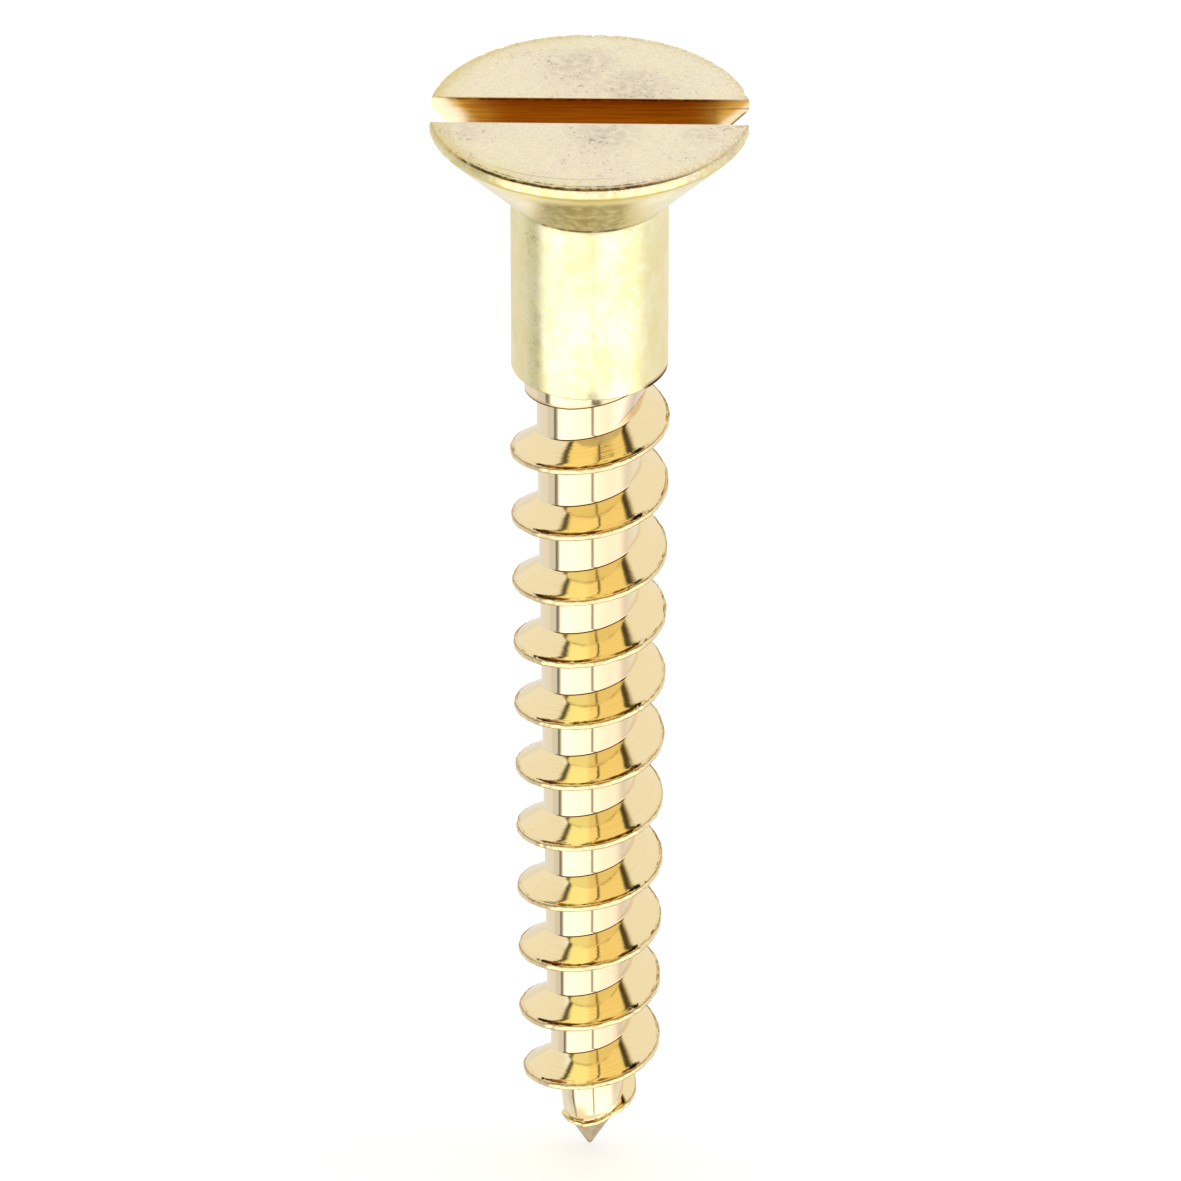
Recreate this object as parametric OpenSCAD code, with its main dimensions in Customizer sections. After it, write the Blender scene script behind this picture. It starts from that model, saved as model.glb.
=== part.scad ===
// Slotted countersunk wood screw, turned from one brass rod.
// The flat face of the head lies on z = 0 and the point hangs down along -Z.
// The screw is one rigid metal piece, kept here as four zones that meet on flat
// planes across its axis: head, plain shank, threaded length and cone point.
// Lengths are in millimetres and angles in degrees.

/* [Head] */
// Diameter of the flat face, at the rim
head_d = 9.9; // [8.4:0.1:12]
// Height of the upright rim between the flat face and the cone
rim_height = 0.38; // [0.2:0.02:0.8]
// Full angle of the countersunk cone under the rim
countersink_angle = 90; // [78:1:96]
// Width of the driver slot
slot_width = 1.6; // [1:0.05:2.2]
// Depth of the driver slot below the flat face
slot_depth = 1.4; // [0.8:0.05:2]

/* [Shank] */
// Diameter of the plain shank
shank_d = 4.88; // [4.5:0.02:6]
// Distance from the flat face down to the shoulder that ends the plain shank
shoulder_depth = 8.85; // [5:0.05:16]

/* [Thread] */
// Overall length, from the flat face to the tip
screw_length = 38.1; // [24:0.1:60]
// Rise of the thread in one turn
pitch = 2.285; // [1.7:0.005:3]
// Diameter over the thread crest just below the shoulder
crest_top_d = 5.06; // [4.6:0.02:5.4]
// Diameter over the thread crest where the nose begins
crest_low_d = 4.54; // [4:0.02:5]
// Diameter of the core just below the shoulder
core_top_d = 3.38; // [2.8:0.02:3.8]
// Diameter of the core where the nose begins
core_low_d = 2.76; // [2.2:0.02:3]
// Width of the flat land along the crest
crest_land = 0.15; // [0.08:0.01:0.4]
// Slope of the flank that faces the head, from the plane across the axis
upper_flank_angle = 37; // [15:1:40]
// Slope of the flank that faces the point, from the plane across the axis
lower_flank_angle = 17; // [5:1:35]
// Direction, seen from the head, in which the ridge meets the shoulder
runout_angle = 342; // [0:1:360]
// How much higher the first turns lie than an even helix would put them
first_lift = 0.25; // [0:0.01:0.3]
// Flat strips that make up one turn of the thread
strips_per_turn = 40; // [24:4:60]

/* [Neck] */
// Diameter of the short neck between the shoulder and the first turn
neck_d = 4.06; // [3.9:0.02:4.4]
// Turns over which the ridge stays level with the neck
neck_turns = 0.45; // [0.3:0.05:0.9]
// Turns over which the ridge then grows to its full height
growth_turns = 0.5; // [0.2:0.05:1]

/* [Point] */
// Height of the plain cone at the tip
cone_height = 1.25; // [0.8:0.05:2.5]
// Diameter of that cone where the thread starts
cone_d = 1.5; // [1.2:0.02:2.2]
// Length over which the thread narrows down to the cone
nose_length = 4.3; // [2.5:0.1:7]
// Diameter of the core along its last, straight stretch above the cone
nose_core_d = 1.82; // [1.4:0.02:2.4]
// Length of that straight stretch, from the plane where the cone starts
nose_core_length = 1.05; // [0.3:0.05:2]

/* [Hidden] */
round_sides = 96;

// Amount by which a cutting shape passes the face that it opens
cut_margin = 1;
// Least height between neighbouring corners of the thread's cross-section
corner_step = 0.03;
// Turns over which the step under the neck fades out before the shoulder
step_fade_turns = 0.16;
// Share of the room between two crests that both flanks may fill
flank_share = 0.9;
// Turns between which the first turns' lift grows, and between which it fades
lift_turns = [0.25, 0.55];
settle_turns = [1, 3.2];
// Curvature of the nose over the crests and over the core
crest_nose_power = 3.8;
core_nose_power = 2;

cone_rise = (head_d - shank_d) / 2 / tan(countersink_angle / 2);
head_height = rim_height + cone_rise;
shoulder_z = -shoulder_depth;
cone_z = cone_height - screw_length;
nose_z = cone_z + nose_length;
neck_r = neck_d / 2;
cone_r = cone_d / 2;

turns = (shoulder_z - cone_z) / pitch;
last = ceil(turns * strips_per_turn);
step_angle = 360 / strips_per_turn;

function mix(a, b, t) = a + (b - a) * t;
function share(x, from, to) = min(1, max(0, (x - from) / (to - from)));

// Turns between section m and the end of the ridge at the shoulder
function turns_left(m) = (last - m) / strips_per_turn;

function section_angle(m) = runout_angle - 360 * turns_left(m);
function lift(t) = first_lift
    * share(t, lift_turns[0], lift_turns[1])
    * share(t, settle_turns[1], settle_turns[0]);
function section_z(m) = shoulder_z - pitch * turns_left(m) + lift(turns_left(m));

// 0 above the nose, 1 where the cone begins
function nose_share(z) = share(z, nose_z, cone_z);

// 0 where the nose begins, 1 at the shoulder
function body_share(z) = share(z, nose_z, shoulder_z);

function crest_r(z) = mix(
    mix(crest_low_d, crest_top_d, body_share(z)) / 2, cone_r,
    pow(nose_share(z), crest_nose_power));

// The core narrows to its straight stretch and ends in the point's own cone
function core_r(z) = min(
    (z + screw_length) * cone_r / cone_height,
    mix(mix(core_low_d, core_top_d, body_share(z)) / 2, nose_core_d / 2,
        pow(share(z, nose_z, cone_z + nose_core_length), core_nose_power)));

// 0 along the neck, 1 where the ridge has its full height
function growth(m) = share(turns_left(m), neck_turns, neck_turns + growth_turns);

function ridge_r(m) = mix(neck_r, crest_r(section_z(m)), growth(m));
function upper_root_r(m) = mix(neck_r, core_r(section_z(m)), growth(m));
function lower_root_r(m) = mix(
    neck_r, core_r(section_z(m)), share(turns_left(m), 0, step_fade_turns));

// Heights of the two flanks, which together leave some groove between two turns
flank_room = flank_share * (pitch - crest_land) / 2;
function upper_rise(m) =
    min(flank_room, max(0, ridge_r(m) - upper_root_r(m)) * tan(upper_flank_angle));
function lower_rise(m) =
    min(flank_room, max(0, ridge_r(m) - lower_root_r(m)) * tan(lower_flank_angle));

// The four corners of the ridge in section m, counted from its lower root
function corner_r(m, i) = [lower_root_r(m), ridge_r(m), ridge_r(m), upper_root_r(m)][i];
function corner_rise(m, i) = [
    -crest_land / 2 - lower_rise(m) - corner_step,
    -crest_land / 2,
    crest_land / 2,
    crest_land / 2 + upper_rise(m) + corner_step][i];
function corner_z(m, i) = max(
    cone_z + (i + 1) * corner_step,
    min(shoulder_z - (4 - i) * corner_step, section_z(m) + corner_rise(m, i)));

function polar(r, angle, z) = [r * cos(angle), r * sin(angle), z];

module head_zone() {
    difference() {
        rotate_extrude($fn = round_sides)
            polygon([
                [0, 0],
                [head_d / 2, 0],
                [head_d / 2, -rim_height],
                [shank_d / 2, -head_height],
                [0, -head_height]]);
        translate([-head_d / 2 - cut_margin, -slot_width / 2, -slot_depth])
            cube([head_d + 2 * cut_margin, slot_width, slot_depth + cut_margin]);
    }
}

module shank_zone() {
    translate([0, 0, shoulder_z])
        cylinder(d = shank_d, h = shoulder_depth - head_height, $fn = round_sides);
}

// One closed skin: four corners in every section along the helix, a ring on the
// cone's plane below them and a ring on the shoulder's plane above them.
module thread_zone() {
    n = strips_per_turn;
    corners = [for (m = [0:last]) for (i = [0:3])
        polar(corner_r(m, i), section_angle(m), corner_z(m, i))];
    low_ring = [for (k = [0:n - 1]) polar(cone_r, section_angle(k), cone_z)];
    top_ring = [for (k = [0:n - 1]) polar(neck_r, section_angle(last - n + k), shoulder_z)];
    low_start = 4 * (last + 1);
    top_start = low_start + n;

    function id(m, i) = 4 * m + i;
    function low(k) = low_start + k % n;
    function top(k) = top_start + k % n;
    function strip(p, p_next, q, q_next) = [[p, q, q_next], [p, q_next, p_next]];
    function fan(hub, rim) = [for (k = [0:len(rim) - 2]) [hub, rim[k], rim[k + 1]]];

    ridge = [for (m = [0:last - 1]) for (i = [0:2])
        each strip(id(m, i), id(m + 1, i), id(m, i + 1), id(m + 1, i + 1))];
    groove = [for (m = [0:last - n - 1])
        each strip(id(m, 3), id(m + 1, 3), id(m + n, 0), id(m + n + 1, 0))];
    low_wall = [for (k = [0:n - 2])
        each strip(low(k), low(k + 1), id(k, 0), id(k + 1, 0))];
    top_wall = [for (k = [1:n - 1])
        each strip(id(last - n + k, 3), id(last - n + k + 1, 3), top(k), top(k + 1))];
    low_seam = fan(id(n - 1, 0),
        [id(n, 0), id(0, 3), id(0, 2), id(0, 1), id(0, 0), low(0), low(n - 1)]);
    top_seam = fan(id(last - n + 1, 3),
        [id(last - n, 3), id(last, 0), id(last, 1), id(last, 2), id(last, 3), top(0), top(1)]);
    low_cap = [[for (k = [0:n - 1]) low(k)]];
    top_cap = [[for (k = [n - 1:-1:0]) top(k)]];

    polyhedron(
        points = concat(corners, low_ring, top_ring),
        faces = concat(
            ridge, groove, low_wall, top_wall, low_seam, top_seam, low_cap, top_cap),
        convexity = 10);
}

module point_zone() {
    translate([0, 0, -screw_length])
        cylinder(d1 = 0, d2 = cone_d, h = cone_height, $fn = round_sides);
}

module head() {
    color("#e6dcaf") head_zone();
}

module shank() {
    color("#e8e0b0") shank_zone();
}

module thread() {
    color("#e9d9b4") thread_zone();
}

module point() {
    color("#cfc3a4") point_zone();
}

head();
shank();
thread();
point();
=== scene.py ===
import math

import bmesh
import bpy
from mathutils import Matrix, Vector, noise


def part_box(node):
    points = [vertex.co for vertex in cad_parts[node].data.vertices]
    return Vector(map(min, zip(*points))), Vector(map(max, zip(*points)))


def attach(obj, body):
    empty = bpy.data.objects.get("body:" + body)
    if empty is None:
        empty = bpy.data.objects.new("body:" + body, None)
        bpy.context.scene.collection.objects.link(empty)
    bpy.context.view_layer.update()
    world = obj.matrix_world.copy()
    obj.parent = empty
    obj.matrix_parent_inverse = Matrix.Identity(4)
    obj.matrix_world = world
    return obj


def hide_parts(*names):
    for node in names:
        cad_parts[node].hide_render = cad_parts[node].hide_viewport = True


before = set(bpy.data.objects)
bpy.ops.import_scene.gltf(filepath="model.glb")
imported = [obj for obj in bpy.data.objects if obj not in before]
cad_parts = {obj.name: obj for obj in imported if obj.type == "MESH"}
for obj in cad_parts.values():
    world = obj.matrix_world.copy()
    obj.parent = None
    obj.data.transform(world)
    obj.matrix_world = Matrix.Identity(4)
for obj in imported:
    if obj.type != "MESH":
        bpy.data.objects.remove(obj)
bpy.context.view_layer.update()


# ---------------------------------------------------------------------------
# Head. The turned head of the screw: a flat face, a narrow upright rim and a
# countersunk cone, with a driver slot sawn right across. Solid brass, tumbled
# after turning, so its edges are soft and its skin is mottled and scratched.
# ---------------------------------------------------------------------------
MM = 0.001
head_low, head_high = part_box("head")
shank_low, shank_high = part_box("shank")
HEAD_R = head_high.y
HEAD_END = head_low.z
SHANK_R = shank_high.x
SHOULDER = shank_low.z
RIM_HEIGHT = 0.38 * MM
RIM_EDGE_RADIUS = 0.1 * MM
SLOT_WIDTH = 1.6 * MM
SLOT_DEPTH = 1.4 * MM
SLOT_EDGE_RADIUS = 0.03 * MM
NICK_DEPTH = 0.13 * MM
NICK_ANGLE = 84
HEAD_STEPS = 384

# The same places in millimetres, which the materials are written in.
HEAD_R_MM = HEAD_R / MM
RIM_END_MM = -RIM_HEIGHT / MM
HEAD_END_MM = HEAD_END / MM
SHOULDER_MM = SHOULDER / MM
SLOT_SIDE_MM = SLOT_WIDTH / 2 / MM
SLOT_FLOOR_MM = -SLOT_DEPTH / MM

# Colours of the flat face, from its bulk to its edge.
FACE_COLOUR = (0.94, 0.84, 0.57, 1)
FACE_PINK = (0.9, 0.78, 0.575, 1)
FACE_PALE = (0.96, 0.9, 0.7, 1)
FACE_TAN = (0.84, 0.74, 0.5, 1)
GRAIN_DARK = (0.8, 0.66, 0.5, 1)
GRAIN_LIGHT = (1.0, 0.95, 0.78, 1)
EDGE_BROWN = (0.72, 0.54, 0.24, 1)
# Painted golden reflections near the face's edge, stronger on the left.
EDGE_REFLECTION_GOLD = (0.87, 0.76, 0.36, 1)
LEFT_EDGE_REFLECTION_GOLD = (0.74, 0.58, 0.22, 1)

# Colours of the rim, the cone and the shank.
SHANK_COLOUR = (0.89, 0.81, 0.44, 1)
SHANK_PALE = (0.97, 0.92, 0.62, 1)
SHANK_DULL = (0.82, 0.76, 0.4, 1)
MOTTLE_PALE = (0.99, 0.93, 0.72, 1)
MOTTLE_DEEP = (0.9, 0.76, 0.38, 1)
# A painted amber reflection on the shank's sides.
SIDE_REFLECTION_AMBER = (0.97, 0.81, 0.42, 1)
RIM_GOLD = (0.85, 0.73, 0.33, 1)
RIM_SHADE = (0.74, 0.6, 0.26, 1)
# A painted pale reflection over the cone, and a painted olive reflection on its front.
CONE_REFLECTION_SILVER = (0.92, 0.87, 0.78, 1)
CONE_REFLECTION_OLIVE = (0.41, 0.34, 0.155, 1)

# Colours of soil, wear, painted shade and light, and the sawn walls of the slot.
GROOVE_SHADE = (0.2, 0.15, 0.06, 1)
STRIPE_GREEN = (0.78, 0.74, 0.36, 1)
SPECK_BROWN = (0.46, 0.38, 0.26, 1)
WORN_GREY = (0.7, 0.6, 0.48, 1)
PIT_BROWN = (0.36, 0.28, 0.19, 1)
SCRATCH_BROWN = (0.4, 0.33, 0.2, 1)
RIM_LINE_GOLD = (0.6, 0.46, 0.18, 1)
RIM_LINE_SHADE = (0.1, 0.07, 0.03, 1)
SCUFF_BROWN = (0.5, 0.38, 0.26, 1)
SCUFF_PINK = (0.74, 0.55, 0.45, 1)
TURNED_BROWN = (0.35, 0.26, 0.16, 1)
HOOK_SHADE_BROWN = (0.5, 0.25, 0.06, 1)
EDGE_SHADE_BLACK = (0.1, 0.04, 0.01, 1)
KNOCK_GREY = (0.36, 0.33, 0.2, 1)
SAWN_COLOUR = (0.86, 0.56, 0.12, 1)
SAWN_DEEP = (0.62, 0.3, 0.04, 1)
SAWN_EDGE_SHADOW = (0.14, 0.06, 0.015, 1)
SAWN_LIT_PALE = (0.95, 0.79, 0.54, 1)
SAWN_LIT_CREAM = (0.8, 0.68, 0.45, 1)
SAW_MARK = (0.16, 0.08, 0.03, 1)


class Nodes:
    """Adds nodes to a shader or geometry tree and joins them, one call for each."""

    def __init__(self, tree):
        self.tree = tree

    def put(self, kind, inputs=None, **settings):
        node = self.tree.nodes.new(kind)
        for key, value in settings.items():
            setattr(node, key, value)
        for key, value in (inputs or {}).items():
            self.feed(node.inputs[key], value)
        return node

    def feed(self, socket, value):
        if isinstance(value, bpy.types.NodeSocket):
            self.tree.links.new(value, socket)
        else:
            socket.default_value = value

    def math(self, operation, *values):
        return self.put("ShaderNodeMath", dict(enumerate(values)), operation=operation).outputs[0]

    def chain(self, operation, *values):
        """All the values joined by one operation, from the first to the last."""
        result = values[0]
        for value in values[1:]:
            result = self.math(operation, result, value)
        return result

    def times(self, *values):
        return self.chain("MULTIPLY", *values)

    def total(self, *values):
        return self.chain("ADD", *values)

    def highest(self, *values):
        return self.chain("MAXIMUM", *values)

    def share(self, value, low, high, smooth=False):
        """0 up to low, 1 from high, and in between in proportion."""
        node = self.put(
            "ShaderNodeMapRange",
            {"Value": value, "From Min": low, "From Max": high},
            interpolation_type="SMOOTHSTEP" if smooth else "LINEAR",
        )
        return node.outputs["Result"]

    def band(self, value, low, high, soft):
        """1 between low and high, 0 outside, with soft edges."""
        rise = self.share(value, low - soft, low + soft, True)
        fall = self.share(value, high - soft, high + soft, True)
        return self.math("SUBTRACT", rise, fall)

    def mix(self, a, b, share):
        """a at 0, b at 1."""
        return self.math("MULTIPLY_ADD", self.math("SUBTRACT", b, a), share, a)

    def layered(self, value, *layers):
        """The value with each layer, another value and its mask, laid over it in turn."""
        for over, mask in layers:
            value = self.mix(value, over, mask)
        return value

    def colour(self, a, b, share):
        """Colour a at 0, colour b at 1."""
        node = self.put("ShaderNodeMix", data_type="RGBA")
        self.feed(node.inputs["Factor"], share)
        self.feed(node.inputs[6], a)
        self.feed(node.inputs[7], b)
        return node.outputs[2]

    def painted(self, tone, *coats):
        """The colour with each coat, another colour and its mask, laid over it in turn."""
        for coat, mask in coats:
            tone = self.colour(tone, coat, mask)
        return tone

    def noise(self, place, size, detail=2.0, seed=0.0):
        """Cloudy noise whose spots are about size across."""
        node = self.put("ShaderNodeTexNoise", {
            "Vector": place, "W": seed, "Scale": 1 / size, "Detail": detail,
        }, noise_dimensions="4D")
        return node.outputs[0]

    def stretched(self, place, factors, turned=(0.0, 0.0, 0.0)):
        return self.put("ShaderNodeMapping", {
            "Vector": place, "Rotation": turned, "Scale": factors,
        }).outputs[0]

    def point(self, x, y, z):
        return self.put("ShaderNodeCombineXYZ", {0: x, 1: y, 2: z}).outputs[0]

    def distance(self, place, centre):
        node = self.put("ShaderNodeVectorMath", {0: place, 1: centre}, operation="DISTANCE")
        return node.outputs["Value"]

    def spot(self, place, centre, size):
        """1 at centre, fading to 0 at size away from it."""
        return self.share(self.distance(place, centre), size, 0.15 * size, True)

    def millimetres(self):
        """The place on the piece, in millimetres: as one vector, and as x, y and z."""
        place = self.put("ShaderNodeTexCoord").outputs["Object"]
        scaled = self.put("ShaderNodeVectorMath", {0: place, "Scale": 1 / MM}, operation="SCALE")
        split = self.put("ShaderNodeSeparateXYZ", {0: scaled.outputs[0]})
        return scaled.outputs[0], split.outputs[0], split.outputs[1], split.outputs[2]

    def group(self, tree, inputs):
        return self.put("ShaderNodeGroup", inputs, node_tree=tree).outputs

    def bump(self, relief, depth, strength):
        """The surface's normal, tilted by a relief of this depth."""
        return self.put("ShaderNodeBump", {
            "Height": relief, "Distance": depth, "Strength": strength,
        }).outputs[0]


def new_material(name):
    """An empty metal material: itself, its nodes and its shader."""
    material = bpy.data.materials.new(name)
    material.use_nodes = True
    material.node_tree.nodes.clear()
    n = Nodes(material.node_tree)
    shader = n.put("ShaderNodeBsdfPrincipled")
    shader.inputs["Metallic"].default_value = 1.0
    n.put("ShaderNodeOutputMaterial", {"Surface": shader.outputs[0]})
    return material, n, shader


def new_group(name, inputs, outputs):
    """A shader node group with named inputs and outputs."""
    tree = bpy.data.node_groups.new(name, "ShaderNodeTree")
    for key, kind in inputs.items():
        tree.interface.new_socket(key, in_out="INPUT", socket_type=kind)
    for key in outputs:
        tree.interface.new_socket(key, in_out="OUTPUT", socket_type="NodeSocketFloat")
    n = Nodes(tree)
    return tree, n, n.put("NodeGroupInput").outputs, n.put("NodeGroupOutput").inputs


def link_object(name, mesh):
    piece = bpy.data.objects.new(name, mesh)
    bpy.context.scene.collection.objects.link(piece)
    return piece


def baked(piece, name):
    """The piece with its modifiers worked in, as a plain mesh of its own."""
    graph = bpy.context.evaluated_depsgraph_get()
    mesh = bpy.data.meshes.new_from_object(piece.evaluated_get(graph))
    mesh.name = name
    bpy.data.objects.remove(piece)
    return link_object(name, mesh)


def closed_solid(name, shape):
    """An object from a finished bmesh, smooth, with its faces pointing outwards."""
    bmesh.ops.recalc_face_normals(shape, faces=shape.faces)
    mesh = bpy.data.meshes.new(name)
    shape.to_mesh(mesh)
    shape.free()
    mesh.shade_smooth()
    return link_object(name, mesh)


def lathe(name, outline, steps, worn=None):
    """A closed solid turned from outline, a list of (radius, height) from pole to pole."""
    shape = bmesh.new()
    rings = []
    for radius, height in outline:
        count = 1 if radius == 0 else steps
        ring = []
        for k in range(count):
            angle = math.tau * k / steps
            r, z = worn(radius, height, angle) if worn and radius else (radius, height)
            ring.append(shape.verts.new((r * math.cos(angle), r * math.sin(angle), z)))
        rings.append(ring)
    for upper, lower in zip(rings, rings[1:]):
        for k in range(steps):
            corners = [
                upper[k % len(upper)], lower[k % len(lower)],
                lower[(k + 1) % len(lower)], upper[(k + 1) % len(upper)],
            ]
            corners = list(dict.fromkeys(corners))
            if len(corners) > 2:
                shape.faces.new(corners)
    return closed_solid(name, shape)


def prism(name, profile, low, high):
    """A solid with profile, a list of (y, z), drawn out along X from low to high."""
    shape = bmesh.new()
    ends = [[shape.verts.new((x, y, z)) for y, z in profile] for x in (low, high)]
    for k in range(len(profile)):
        after = (k + 1) % len(profile)
        shape.faces.new((ends[0][k], ends[0][after], ends[1][after], ends[1][k]))
    shape.faces.new(ends[0])
    shape.faces.new(ends[1])
    return closed_solid(name, shape)


def arc(centre, radius, start, end, count):
    """count + 1 points from the start angle to the end angle, in degrees."""
    angles = [math.radians(start + (end - start) * k / count) for k in range(count + 1)]
    return [(centre[0] + radius * math.cos(a), centre[1] + radius * math.sin(a)) for a in angles]


def noise_round(angle, fineness, seed=0):
    """Smooth noise round the axis, between about -1 and 1."""
    spoke = Vector((math.cos(angle), math.sin(angle), 0))
    return noise.noise(spoke * fineness + Vector((0, 0, seed)))


def worn_rim(radius, height, angle):
    """Dents and knocks round the head's rim, none elsewhere."""
    near_rim = max(0.0, 1 - abs(radius - HEAD_R) / (0.25 * MM))
    near_top = max(0.0, 1 + height / (0.5 * MM))
    wear = near_rim * near_top
    broad = noise_round(angle, 5, 3)
    fine = noise_round(angle, 30, 9) + 0.8 * noise_round(angle, 70)
    dent = max(0.0, noise_round(angle, 14, 5) - 0.15)
    radius -= wear * (0.012 + 0.008 * broad + 0.012 * fine + 0.06 * dent) * MM
    if height > -0.2 * MM:
        height += wear * (0.01 * fine - 0.05 * dent) * MM
    return radius, height


head_outline = [
    (0, 0),
    (HEAD_R * 0.5, 0),
    (HEAD_R * 0.9, 0),
    # A faint groove that the turning tool left just inside the edge.
    (HEAD_R - 0.26 * MM, 0),
    (HEAD_R - 0.2 * MM, -0.02 * MM),
    (HEAD_R - 0.16 * MM, -0.025 * MM),
    (HEAD_R - 0.12 * MM, -0.002 * MM),
    # The rounded edge and the upright rim.
    *arc((HEAD_R - RIM_EDGE_RADIUS, -RIM_EDGE_RADIUS), RIM_EDGE_RADIUS, 90, 0, 6),
    (HEAD_R - 0.002 * MM, -RIM_HEIGHT * 0.7),
    (HEAD_R, -RIM_HEIGHT * 0.9),
    (HEAD_R - 0.02 * MM, -RIM_HEIGHT - 0.01 * MM),
    (HEAD_R - 0.06 * MM, -RIM_HEIGHT - 0.05 * MM),
    (HEAD_R - 0.12 * MM, -RIM_HEIGHT - 0.12 * MM),
    # The cone, and the faint groove where the shank starts.
    (SHANK_R + 1.2 * MM, HEAD_END + 1.2 * MM),
    (SHANK_R + 0.3 * MM, HEAD_END + 0.3 * MM),
    (SHANK_R + 0.06 * MM, HEAD_END + 0.07 * MM),
    (SHANK_R + 0.015 * MM, HEAD_END + 0.035 * MM),
    (SHANK_R, HEAD_END + 0.01 * MM),
    (SHANK_R - 0.012 * MM, HEAD_END - 0.01 * MM),
    (SHANK_R - 0.02 * MM, HEAD_END - 0.04 * MM),
    (0, HEAD_END - 0.04 * MM),
]
head = lathe("head_body", head_outline, HEAD_STEPS, worn_rim)
half = SLOT_WIDTH / 2
edge = SLOT_EDGE_RADIUS
saw_profile = [
    (-half, -SLOT_DEPTH), (half, -SLOT_DEPTH),
    *arc((half + edge, -edge), edge, 180, 90, 3),
    (half + edge, MM), (-half - edge, MM),
    *arc((-half - edge, -edge), edge, 90, 0, 3),
]
saw = prism("saw", saw_profile, -1.5 * HEAD_R, 1.5 * HEAD_R)
nick_profile = [(-0.16 * MM, 0.03 * MM), (-0.02 * MM, -NICK_DEPTH), (0.14 * MM, 0.03 * MM)]
nick = prism("nick", nick_profile, -0.16 * MM, 0.4 * MM)
at_far_edge = Matrix.Translation((0, HEAD_R, 0))
nick.data.transform(at_far_edge @ Matrix.Rotation(math.radians(NICK_ANGLE), 4, "Z"))
for tool in (saw, nick):
    cut = head.modifiers.new(tool.name, "BOOLEAN")
    cut.operation = "DIFFERENCE"
    cut.solver = "EXACT"
    cut.object = tool
flat_first = head.modifiers.new("flat_first", "WEIGHTED_NORMAL")
flat_first.keep_sharp = True
head = baked(head, "head_body")
bpy.data.objects.remove(saw)
bpy.data.objects.remove(nick)

# The tumbled skin that every brass surface has: clouds, specks and scratches.
tumbled_skin, n, given, result = new_group(
    "tumbled_skin",
    {"Place": "NodeSocketVector", "Cloud size": "NodeSocketFloat", "Seed": "NodeSocketFloat"},
    ("Clouds", "Specks", "Scratches"),
)
cloud = n.put("ShaderNodeTexNoise", {
    "Vector": given["Place"], "W": given["Seed"],
    "Scale": n.math("DIVIDE", 1.0, given["Cloud size"]), "Detail": 5.0, "Roughness": 0.6,
}, noise_dimensions="4D").outputs[0]
n.feed(result["Clouds"], n.share(cloud, 0.36, 0.64, True))
grit = n.noise(given["Place"], 0.09, 3.0, 4.0)
n.feed(result["Specks"], n.share(grit, 0.56, 0.72, True))
scratches = []
for k, (turn, tilt) in enumerate(((0.3, 0.1), (1.2, 0.5), (2.4, -0.3), (0.9, 1.3))):
    along = n.stretched(given["Place"], (0.9, 12.0, 12.0), (tilt, 0.3 * k, turn))
    scratches.append(n.share(n.noise(along, 1.0, 1.0, 11.0 + k), 0.7, 0.76, True))
n.feed(result["Scratches"], n.highest(*scratches))

tumbled, n, shader = new_material("tumbled_brass")
place, x, y, z = n.millimetres()
skin = n.group(tumbled_skin, {"Place": place, "Cloud size": 0.8, "Seed": 2.0})
from_axis = n.math("SQRT", n.total(n.times(x, x), n.times(y, y)))
from_edge = n.math("SUBTRACT", HEAD_R_MM, from_axis)
# Degrees round the axis: -90 is the front, 0 the right and 180 the left.
around = n.math("DEGREES", n.math("ARCTAN2", y, x))
big_clouds = n.noise(place, 2.2, 2.0, 1.0)
small_clouds = n.noise(place, 0.28, 3.0, 21.0)
mottle = n.noise(place, 0.33, 5.0, 41.0)
grain = n.noise(place, 0.075, 2.0, 31.0)
on_face = n.share(z, -0.12, -0.04, True)
on_shank = n.share(z, HEAD_END_MM + 0.29, HEAD_END_MM - 0.11)

# The face is cloudy and grainy, with a painted golden reflection towards its edge, most of all on
# the left.
edge_grain = n.times(n.share(from_edge, 0.5, 0.05), n.share(grain, 0.42, 0.56))
gold_edge_reflection = n.times(n.share(from_edge, 1.0, 0.1), n.share(x, 1.0, -2.5, True))
left_edge_reflection = n.times(n.share(from_edge, 0.5, 0.1), n.share(x, -1.8, -3.6))
face_tone = n.painted(
    FACE_COLOUR,
    (FACE_PINK, n.share(big_clouds, 0.38, 0.62, True)),
    (FACE_PALE, n.times(skin["Clouds"], 0.35)),
    (FACE_TAN, n.times(n.share(small_clouds, 0.42, 0.66), 0.35)),
    (GRAIN_DARK, n.times(n.share(grain, 0.5, 0.68), 0.5)),
    (GRAIN_LIGHT, n.times(n.share(grain, 0.46, 0.32), 0.5)),
    (EDGE_BROWN, n.times(edge_grain, 0.6)),
    (EDGE_REFLECTION_GOLD, n.times(gold_edge_reflection, n.mix(0.3, 0.75, skin["Clouds"]))),
    (LEFT_EDGE_REFLECTION_GOLD, n.times(left_edge_reflection, n.mix(0.35, 0.8, small_clouds))),
)

# The rim, the cone and the shank are mottled, with clouds drawn out along the axis.
drawn_clouds = n.noise(n.stretched(place, (1.0, 1.0, 0.35)), 0.7, 4.0, 2.0)
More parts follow.
